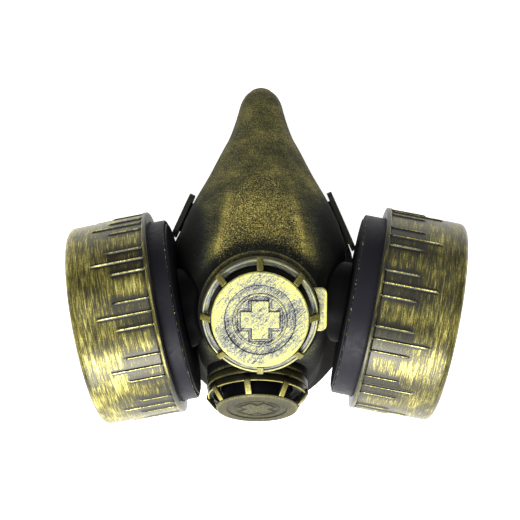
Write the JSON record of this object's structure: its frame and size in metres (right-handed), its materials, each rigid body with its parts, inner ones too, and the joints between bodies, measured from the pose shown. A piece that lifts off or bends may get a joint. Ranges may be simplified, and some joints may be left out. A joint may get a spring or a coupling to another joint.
{
  "type": "costume respirator mask",
  "caption": "Costume half-mask shaped like a respirator, with drum filters on the cheeks and round ribbed valves in front and under the chin",
  "frame": {"origin": "bottom centre of the bounding box, on the surface that the mask's back edge lies on", "axes": "+X to the wearer's left and along the line of the filters, +Y to the bridge of the nose, +Z out of the face"},
  "size_m": [0.1944, 0.1772, 0.1076],
  "materials": {
    "antique_gold": "black plastic, dry-brushed in antique gold",
    "pale_gold": "black plastic, brushed over heavily in pale gold",
    "black_plastic": "unpainted black plastic with a satin sheen"
  },
  "bodies": {
    "root": {"facepiece": "antique_gold", "strap_lug_left": "antique_gold", "strap_lug_right": "antique_gold", "front_valve_collar": "antique_gold", "front_valve_cage": "antique_gold", "front_valve_disc": "pale_gold", "front_valve_ear": "pale_gold", "lower_valve_collar": "antique_gold", "lower_valve_cage": "antique_gold", "lower_valve_disc": "pale_gold", "filter_neck_left": "black_plastic", "filter_neck_right": "black_plastic", "filter_base_left": "black_plastic", "filter_base_right": "black_plastic", "filter_can_left": "antique_gold", "filter_can_right": "antique_gold"}
  },
  "joints": []
}
